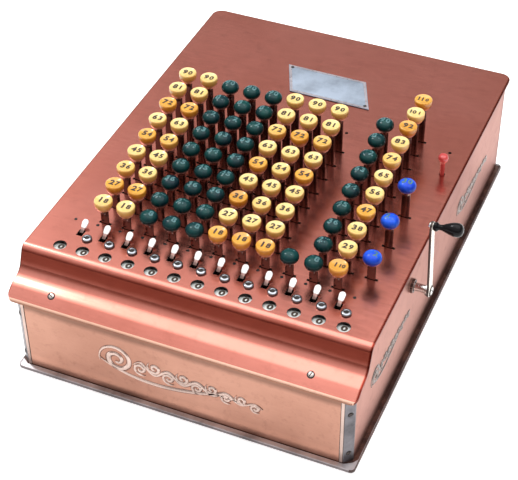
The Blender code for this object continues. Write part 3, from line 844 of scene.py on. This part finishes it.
def make_keys(node, places, colour, stem_bottom):
    """Makes one body's caps with their marks, and returns its stems.

    A place is (x, y, top, value, most, tone).
    """
    cap, materials = DOME_CAP, [colour, colour, colour, "ink_light"]
    if colour == "ivory":
        cap, materials = FLAT_CAP, ["ivory", "ivory_warm", "ivory_aged", "ink_dark"]
    caps, stems = [], []
    for x, y, top, value, most, tone in places:
        profile = [(radius, top + height) for radius, height in cap]
        caps.append(painted(turned(profile, 32, "Z", (x, y, 0.0)), tone))
        for mark in key_marks(x, y, top, cap, value, most):
            caps.append(painted(mark, 3))
        stems += key_stem(x, y, top, stem_bottom)
    piece(f"{node}_caps", gathered(caps), materials, node, [node])
    return stems


def make_all_keys():
    row_top = {row: box_mm(f"pence_key_{row}")[1].z for row in range(1, PENCE_ROWS + 1)}
    for column in range(1, 9):
        node = f"pounds_keys_{column}"
        x, low = middle(node).x, box_mm(node)[0].z
        tones = KEY_TONES.get(node, {})
        places = []
        for row in range(1, BANK_ROWS + 1):
            places.append((x, row_y(row), row_top[row], row, 9, tones.get(row, 0)))
        stems = make_keys(node, places, BANK_COLOURS[column - 1], low + BAR_HEIGHT / 2)
        y_range = (row_y(1) - 5.0, row_y(BANK_ROWS) + 5.0)
        stems.append(box((x - BAR_HALF_WIDTH, x + BAR_HALF_WIDTH), y_range, (low, low + BAR_HEIGHT), 0.4))
        piece(f"{node}_stems", gathered(stems), ["steel_stem"], node)
    singles = [("ten_shilling_key", "green", 1, 2)]
    singles += [(f"shilling_key_{row}", "green", row, 9) for row in range(1, BANK_ROWS + 1)]
    singles += [(f"pence_key_{row}", "ivory", row, 11) for row in range(1, PENCE_ROWS + 1)]
    singles += [(f"farthing_key_{number}", "blue", number, 3) for number in (1, 2, 3)]
    for node, colour, value, most in singles:
        place = middle(node)
        low, high = box_mm(node)
        tone = KEY_TONES["pence"].get(value, 0) if node.startswith("pence") else 0
        stems = make_keys(node, [(place.x, place.y, high.z, value, most, tone)], colour, low.z)
        piece(f"{node}_stem", gathered(stems), ["steel_stem"], node)


def make_release_key():
    node = "red_release_key"
    low, high = box_mm(node)
    place, top = middle(node), high.z
    profile = [
        (1.9, low.z), (1.9, top - 8.6), (2.1, top - 7.6), (2.9, top - 6.3), (3.7, top - 5.2),
        (4.05, top - 4.2), (4.1, top - 2.8), (3.85, top - 1.5), (3.1, top - 0.6), (1.8, top - 0.1),
        (0.0, top),
    ]
    shape = turned(profile, 28, "Z", (place.x, place.y, 0.0))
    piece("release_key", shape, ["red"], node, [node])


# ---- windows, studs and cut-off levers


def make_numeral_wheels():
    node = "numeral_wheels"
    low, high = box_mm(node)
    centre = middle(node)
    on_axis = Vector((0.0, centre.y, centre.z))
    shaft = turned([(WHEEL_SHAFT_RADIUS, low.x), (WHEEL_SHAFT_RADIUS, high.x)], 20, "X", on_axis)
    shapes = [painted(shaft, 2)]
    rim, face = WHEEL_RADIUS - 0.2, WHEEL_RADIUS - 0.7
    for index in range(WHEELS):
        x = WHEEL_1_X + PITCH * index
        left, right = x - WHEEL_HALF_WIDTH, x + WHEEL_HALF_WIDTH
        profile = [(WHEEL_BORE, left), (face, left), (rim, left + 0.6)]
        profile += [(rim, right - 0.6), (face, right), (WHEEL_BORE, right)]
        shapes.append(painted(turned(profile, 40, "X", on_axis), 0))
        for digit in range(10):
            mark = numeral(str(digit), DIGIT_HEIGHT)
            stretch(mark, (DIGIT_SPREAD, 1.0, 1.0))
            move(mark, (x, 0.0, rim + 0.01))
            turn = Matrix.Rotation(math.radians(36 * digit - DIGIT_LEAD), 3, "X")
            transform(mark, turn)
            move(mark, on_axis)
            shapes.append(painted(mark, 1))
    materials = ["wheel_white", "ink_dark", "inner_steel"]
    piece("numeral_wheel_set", gathered(shapes), materials, node, [node])


def make_studs():
    """Flat bright studs, each with a hole painted dark as shade, on their rail with the levers' pivot rod."""
    low, high = box_mm("stud_rail")
    rail_top = TOP - SHEET - 0.3
    shapes = [box((low.x, high.x), span(RAIL_DEPTHS), (rail_top - RAIL_THICK, rail_top), 0.2)]
    for side in (-1, 1):
        x_range = sorted(side * x for x in EAR_XS)
        shapes.append(box(x_range, span(EAR_DEPTHS), (EAR_BOTTOM, rail_top - 0.3), 0.2))
    rod_end = EAR_XS[0] + 0.9
    rod_centre = (0.0, at(CUTOFF_PIVOT[0]), CUTOFF_PIVOT[1])
    shapes.append(turned([(ROD_RADIUS, -rod_end), (ROD_RADIUS, rod_end)], 16, "X", rod_centre))
    face = TOP + 0.3
    ring = [
        (1.5, rail_top - 1.0), (1.5, face), (3.7, face), (3.95, face + 0.3), (3.95, face + 1.1),
        (3.6, face + 1.6), (3.0, face + 1.9), (2.2, face + 1.95), (1.8, face + 1.7), (1.7, face + 1.2),
    ]
    # Each hole is a shallow dimple capped dark: painted shade for its depth
    hole = [(1.68, face + 1.1), (1.68, face + 1.26), (0.0, face + 1.3)]
    for index in range(CUTOFFS):
        place = (STUD_1_X + PITCH * index, at(STUD_DEPTH), 0.0)
        shapes.append(turned(ring, 28, "Z", place))
        shapes.append(painted(turned(hole, 20, "Z", place), 1))
    piece("column_studs", gathered(shapes), ["stud_steel", "recess_dark"], "case", ["stud_rail"])


def cutoff_blade(x):
    """A bright leaf that lies back over the cover, on a dark upright."""
    knee, tip = Vector(CUTOFF_KNEE), Vector(CUTOFF_TIP)
    half_width, half_thick, wide = 1.5, 0.6, 2.5
    side_view = [(knee.x - half_thick, knee.y), (knee.x + half_thick, knee.y)]
    side_view += arc(CUTOFF_PIVOT, CUTOFF_EYE_RADIUS, 80, -260, 20)
    side_view = [(at(depth), height) for depth, height in side_view]
    upright = prism(side_view, "X", x - half_width, x + half_width, 0.15)
    length = (tip - knee).length
    neck = box((-half_width, half_width), (-0.4, 4.2), (-0.45, 0.45), 0.15)
    right = [(half_width + 0.1, 3.8), (half_width + 0.7, 5.0), (wide, length - wide - 0.6)]
    end = arc((0.0, length - wide), wide, 0, 180, 14)
    left = [(-across, along) for across, along in right[::-1]]
    leaf = prism([*right, *end, *left], "Z", -half_thick, half_thick, 0.28, 3)
    blade = gathered([leaf, painted(neck, 1)])
    lean = Matrix.Rotation(math.atan2(tip.y - knee.y, tip.x - knee.x), 4, "X")
    transform(blade, Matrix.Translation((x, at(knee.x), knee.y)) @ lean)
    return gathered([blade, painted(upright, 1)])


def make_cutoff_levers():
    for index in range(CUTOFFS):
        node = f"cutoff_lever_{index + 1}"
        materials = ["bright_blade", "steel_stem"]
        piece(f"{node}_blade", cutoff_blade(middle(node).x), materials, node, [node])


# ---- side lever


def make_side_lever():
    body = "zero_lever"
    arm_low, arm_high = box_mm("zero_lever_arm")
    pivot = Vector((0.0, at(LEVER_FOOT[0]), LEVER_FOOT[1]))
    foot, head = (pivot.y, pivot.z), (at(LEVER_HEAD[0]), LEVER_HEAD[1])
    lean = math.degrees(math.atan2(head[1] - foot[1], head[0] - foot[0]))
    outline = arc(foot, 5.2, lean + 50, lean + 310, 30)
    outline += arc(head, 3.4, lean - 80, lean + 80, 16)
    arm = prism(outline, "X", arm_low.x, arm_high.x, 0.35)
    # Every face but the outer one is painted dark, as shade along the arm's edges
    for face in arm.faces:
        face.material_index = 1 if face.normal.x < 0.3 else 0
    piece("lever_arm", arm, ["polished_steel", "dark_edge"], body, ["zero_lever_arm"])

    profile = [
        (2.4, -0.68), (3.0, -0.3), (3.3, 0.1), (3.45, 1.0), (3.4, 2.0), (2.7, 2.7), (2.15, 3.5), (2.1, 4.6),
        (2.3, 6.0), (2.9, 7.6), (3.7, 9.6), (4.5, 11.8), (5.05, 14.0), (5.25, 16.0), (5.15, 18.0),
        (4.6, 19.5), (3.6, 20.6), (2.2, 21.3), (0.9, 21.55), (0.0, 21.6),
    ]
    knob = turned(profile, 36, "X")
    place = Matrix.Translation((arm_high.x + 0.7, *head))
    turn = Matrix.Rotation(math.radians(KNOB_TILT), 4, "Y")
    transform(knob, place @ turn)
    piece("lever_knob", knob, ["black"], body, ["zero_lever_knob"])
    rivet = [(2.6, arm_low.x + 0.1), (2.5, arm_low.x - 0.6), (1.8, arm_low.x - 1.2), (0.0, arm_low.x - 1.5)]
    piece("lever_knob_rivet", turned(rivet, 20, "X", (0.0, *head)), ["nickel"], body)

    shaft_low = box_mm("zero_lever_shaft")[0].x
    shaft = turned([(3.3, shaft_low + 0.6), (3.3, arm_low.x)], 28, "X", pivot)
    outline = arc(foot, 4.5, 0, 180, 16) + arc((foot[0], foot[1] - CRANK_DROP), 2.25, 180, 360, 12)
    crank = prism(outline, "X", shaft_low, shaft_low + 2.5, 0.3)
    collar = turned([(4.2, arm_low.x - 1.7), (4.6, arm_low.x - 1.4), (4.6, arm_low.x - 0.1)], 28, "X", pivot)
    parts = gathered([shaft, crank, collar])
    piece("lever_shaft", parts, ["nickel"], body, ["zero_lever_shaft"])
    screw = screw_head("X", (arm_high.x, *foot), 3.4, 1.3, 35.0)
    piece("lever_screw", screw, ["nickel", "recess_dark"], body)
    panel, bush_end = FACES[1] + 0.05, box_mm("right_side_panel")[1].x
    profile = [(5.4, panel), (5.8, panel + 0.35), (5.8, bush_end - 0.3), (5.5, bush_end + 0.02)]
    profile += [(3.8, bush_end + 0.02), (3.8, panel)]
    piece("lever_bush", turned_ring(profile, 32, "X", pivot), ["dark_edge"], "case")


def turned_ring(profile, sides, axis, centre):
    """A ring turned from a closed section of (radius, height) pairs."""
    shape = turned([*profile, profile[0]], sides, axis, centre)
    ends = [face for face in shape.faces if len(face.verts) == sides]
    bmesh.ops.delete(shape, geom=ends, context="FACES_ONLY")
    bmesh.ops.remove_doubles(shape, verts=shape.verts, dist=1e-4)
    bmesh.ops.recalc_face_normals(shape, faces=shape.faces)
    return shape


# ---- screws, nameplate and ornament


def screw_head(axis, centre, radius, rise, angle):
    """A round head with a slot painted dark as shade. It stands up from its centre along the axis, in a dark
    seat.
    """
    profile = [(radius * 0.96, 0.0), (radius, rise * 0.2), (radius, rise * 0.6), (radius * 0.8, rise * 0.92)]
    profile += [(radius * 0.35, rise), (0.0, rise)]
    head = turned(profile, 24)
    reach = radius * 0.86
    # The slot is a dark bar standing on the head, painted shade in place of a cut
    bar = box((-reach, reach), (-0.35, 0.35), (rise * 0.55, rise + 0.03))
    transform(bar, Matrix.Rotation(math.radians(angle), 3, "Z"))
    seat = turned([(radius * 1.35, -0.3), (radius * 1.35, 0.1), (radius * 1.1, 0.12), (0.0, 0.12)], 28)
    whole = gathered([head, painted(bar, 1), painted(seat, 1)])
    upright = Matrix.Rotation(math.radians(90), 3, "X")
    turns = {
        "X": Matrix.Rotation(math.radians(90), 3, "Y"),
        "shelf": Matrix.Rotation(math.radians(27), 3, "X"),
        "corner": Matrix.Rotation(math.radians(45), 3, "Z") @ upright,
        "-corner": Matrix.Rotation(math.radians(-45), 3, "Z") @ upright,
    }
    transform(whole, turns[axis])
    move(whole, centre)
    return whole


def make_screws():
    depth, height = SHELF_SCREW_PLACE
    shelf = [screw_head("shelf", (x, at(depth), height), 2.2, 0.9, angle) for x, angle in SHELF_SCREWS]
    piece("cover_screws", gathered(shelf), ["screw_metal", "recess_dark"], "case")
    corner = []
    for side, axis in ((-1, "-corner"), (1, "corner")):
        for height, angle in CORNER_SCREWS:
            place = (FACES[side] - side * CORNER_SCREW_INSET, at(CORNER_SCREW_DEPTH), height)
            corner.append(screw_head(axis, place, 1.7, 0.7, angle))
    piece("corner_screws", gathered(corner), ["dark_edge", "recess_dark"], "case")


def nameplate_outline(margin):
    """The slanted plate's outline, drawn in by a margin."""
    low, high = box_mm("nameplate")
    slant = NAMEPLATE_SHEAR * margin / (high.y - low.y)
    front, back = low.y + margin, high.y - margin
    x0 = low.x - NAMEPLATE_SHEAR + margin * 1.1 + slant
    x1 = high.x - margin * 1.1 + slant
    shift = NAMEPLATE_SHEAR - 2 * slant
    return [(x0, front), (x1, front), (x1 + shift, back), (x0 + shift, back)]


def make_nameplate():
    """A slanted plate with a raised border, held by two dark pins. It carries no wording."""
    low, high = box_mm("nameplate")
    plate = prism(nameplate_outline(0.0), "Z", low.z, low.z + 0.6, 0.15)
    border_outer = prism(nameplate_outline(0.4), "Z", low.z + 0.4, low.z + 0.8)
    border_inner = prism(nameplate_outline(2.3), "Z", low.z, low.z + 2.0)
    border = painted(cut_out(border_outer, border_inner), 1)
    shade = painted(prism(nameplate_outline(0.05), "Z", low.z - 0.25, low.z + 0.12), 2)
    shapes = [plate, border, shade]
    pin = [(1.6, low.z), (1.6, low.z + 0.75), (1.2, low.z + 0.95), (0.0, low.z + 1.0)]
    for x, y in ((low.x + 4.6, high.y - 3.0), (high.x - 4.6, low.y + 3.2)):
        shapes.append(painted(turned(pin, 16, "Z", (x, y, 0.0)), 2))
    materials = ["nameplate_alloy", "nameplate_rim", "recess_dark"]
    piece("nameplate_face", gathered(shapes), materials, "case", ["nameplate"])


def make_small_pins():
    """Pin heads in a row behind the cut-off levers, painted dark as the levers' shadow."""
    profile = [(1.3, TOP - 0.4), (1.3, TOP + 0.12), (0.9, TOP + 0.26), (0.0, TOP + 0.3)]
    pins = []
    for index in range(WHEELS):
        pins.append(turned(profile, 16, "Z", (WHEEL_1_X + PIN_SHIFT + PITCH * index, at(PIN_DEPTH), 0.0)))
    piece("pivot_pins", gathered(pins), ["recess_dark"], "case")


def band(line, half_width, rise, drop=0.0):
    """A raised band along a line in the XY plane. It tapers to a point at both ends."""
    shape = bmesh.new()
    rings = []
    for index, point in enumerate(line):
        before, after = line[max(0, index - 1)], line[min(len(line) - 1, index + 1)]
        along = (after - before).normalized()
        across = Vector((-along.y, along.x))
        share = index / (len(line) - 1)
        half = half_width * (0.12 + 0.88 * math.sin(math.pi * share) ** 0.6)
        section = ((1.0, -drop), (0.55, rise), (-0.55, rise), (-1.0, -drop))
        spots = [(point + across * half * side, height) for side, height in section]
        rings.append([shape.verts.new((spot.x, spot.y, height)) for spot, height in spots])
    for lower, upper in zip(rings, rings[1:]):
        for index in range(4):
            following = (index + 1) % 4
            shape.faces.new((lower[index], lower[following], upper[following], upper[index]))
    shape.faces.new(rings[0])
    shape.faces.new(rings[-1])
    bmesh.ops.recalc_face_normals(shape, faces=shape.faces)
    return shape


def volute(centre, radius, start, turns, sense):
    """A spiral that winds in from its outer end."""
    points = []
    steps = round(26 * turns)
    for step in range(steps + 1):
        angle = math.radians(start) + sense * 2 * math.pi * turns * step / steps
        reach = radius * (1.0 - 0.86 * (step / steps) ** 0.8)
        points.append(Vector((centre[0] + reach * math.cos(angle), centre[1] + reach * math.sin(angle))))
    return points


def scroll_lines():
    """A running scroll, 136 mm long and 32 mm high: one large volute, a long sweep and nine small ones."""
    lines = [(volute((-50.0, 2.0), 15.5, 200.0, 1.9, -1), 1.5)]
    sweep = []
    for step in range(41):
        share = step / 40
        rise = math.sin(math.pi * min(1.0, share * 1.25 + 0.02)) ** 0.7
        sweep.append(Vector((-64.5 + 122.0 * share, 2.0 - (16.0 - 8.0 * share) * rise - 5.0 * share)))
    lines.append((sweep, 1.2))
    stem = []
    for step in range(91):
        share = step / 90
        swing = math.sin(2 * math.pi * 4.5 * share)
        stem.append(Vector((-36.0 + 106.0 * share, 2.5 - 6.0 * share + (4.6 - 2.2 * share) * swing)))
    lines.append((stem, 1.2))
    for index in range(9):
        share = (index + 0.5) / 9
        side = 1 if index % 2 else -1
        centre = (-36.0 + 106.0 * share, 2.5 - 6.0 * share + side * (3.0 - 1.4 * share))
        lines.append((volute(centre, 6.8 - 2.2 * share, 90.0 * side + 40.0, 1.5, side), 1.05))
    return lines


def make_ornament(name, scale, place, turn, rise, boldness, materials):
    """The scroll in relief on a panel, each band with a dark outline at its foot, painted as its shadow."""
    shapes = []
    for line, half_width in scroll_lines():
        shapes.append(painted(band(line, half_width * boldness, rise / scale), 0))
        # A wider low band under each, painted dark as its shadow
        shapes.append(painted(band(line, half_width * (boldness + 0.95), 0.04 / scale, 0.04 / scale), 1))
    whole = gathered(shapes)
    stretch(whole, (scale, scale, scale))
    transform(whole, turn)
    move(whole, place)
    piece(name, whole, materials, "case")


def make_ornaments():
    front = Matrix.Rotation(math.radians(90), 3, "X")
    right = Matrix(((0.0, 0.0, 1.0), (1.0, 0.0, 0.0), (0.0, 1.0, 0.0)))
    place = (-3.0, box_mm("front_panel")[0].y, 37.0)
    make_ornament("ornament_front", 1.0, place, front, 0.7, 1.35, ["relief_light", "relief_front_shadow"])
    for name, depth in (("ornament_right_front", 83.0), ("ornament_right_back", 293.0)):
        place = (FACES[1], at(depth), 50.0)
        make_ornament(name, 0.66, place, right, 0.5, 1.6, ["relief_grey", "relief_shade"])


# ---- studio and camera


CAMERA_PLACE = Vector((350.2, -850.6, 829.2))
CAMERA_TURN = (48.740, 0.374, 23.053)
CAMERA_LENS = 100.8
KEY_PLACE = Vector((-1.1, 0.3, 1.6))
KEY_AIM = Vector((0.0, 0.0, 0.05))
KEY_SIZE = 0.28
KEY_POWER = 6.5

# The sky's levels or colours by the upward part of a direction
SKY_STRENGTH = 3.0
SKY_BACK_LEFT = ((0.0, 0.12), (0.54, 0.16), (0.62, 0.25), (0.655, 0.31), (0.69, 0.55), (0.75, 1.0))
SKY_BACK_RIGHT = ((0.0, 0.12), (0.54, 0.16), (0.70, 0.155), (0.74, 0.25), (0.80, 1.0))
SKY_FRONT = (
    (0.0, (0.07, 0.045, 0.04)), (0.27, (0.13, 0.10, 0.095)), (0.59, 0.30), (0.87, 0.37), (0.91, 0.47),
    (0.955, 0.9),
)


def make_camera():
    data = bpy.data.cameras.new("camera")
    data.lens = CAMERA_LENS
    data.sensor_width = 36.0
    data.clip_end = 20.0
    camera = bpy.data.objects.new("camera", data)
    camera.location = CAMERA_PLACE * MM
    camera.rotation_euler = [math.radians(angle) for angle in CAMERA_TURN]
    bpy.context.scene.collection.objects.link(camera)
    bpy.context.scene.camera = camera


def make_sky():
    """A studio sky: a bright ceiling that fades towards the back, over a dark room at the front."""
    world = bpy.data.worlds.new("studio")
    nodes = Nodes(world, "Background", "Generated")
    height = nodes.part(nodes.place, "Z")
    towards_left = nodes.range(nodes.part(nodes.place, "X"), 0.0, 1.0, -0.25, -0.40)
    towards_back = nodes.range(nodes.part(nodes.place, "Y"), 0.0, 1.0, -0.3, 0.0)
    back = nodes.mix(towards_left, nodes.ramp(height, SKY_BACK_RIGHT), nodes.ramp(height, SKY_BACK_LEFT))
    nodes.shade("Color", nodes.mix(towards_back, nodes.ramp(height, SKY_FRONT), back))
    nodes.set(Strength=SKY_STRENGTH)
    bpy.context.scene.world = world


def make_floor():
    """White paper that glows a little, and fades well in front of the machine."""
    shape = bmesh.new()
    bmesh.ops.create_grid(shape, x_segments=2, y_segments=2, size=6.0)
    mesh = bpy.data.meshes.new("floor")
    shape.to_mesh(mesh)
    shape.free()
    floor = bpy.data.objects.new("floor", mesh)
    floor.location.z = -0.0005
    paper = new_material("paper")
    ahead = paper.part(paper.place, "Y")
    paper.shade("Base Color", paper.range(ahead, 0.93, 0.50, -0.48, -1.0))
    paper.shade("Emission Strength", paper.range(ahead, 0.40, 0.20, -0.48, -1.0))
    paper.set(Roughness=0.8, Emission_Color=(1.0, 1.0, 1.0, 1.0))
    mesh.materials.append(paper.owner)
    bpy.context.scene.collection.objects.link(floor)


def make_key_light():
    data = bpy.data.lights.new("key_light", "AREA")
    data.shape = "RECTANGLE"
    data.size = data.size_y = KEY_SIZE
    data.energy = KEY_POWER
    light = bpy.data.objects.new("key_light", data)
    light.location = KEY_PLACE
    light.rotation_euler = (KEY_AIM - KEY_PLACE).to_track_quat("-Z", "Y").to_euler()
    bpy.context.scene.collection.objects.link(light)


def make_studio():
    settings = bpy.context.scene.view_settings
    settings.view_transform = "Standard"
    settings.look = "None"
    make_sky()
    make_floor()
    make_key_light()


make_case()
make_all_keys()
make_release_key()
make_numeral_wheels()
make_studs()
make_cutoff_levers()
make_side_lever()
make_screws()
make_nameplate()
make_small_pins()
make_ornaments()
make_camera()
make_studio()
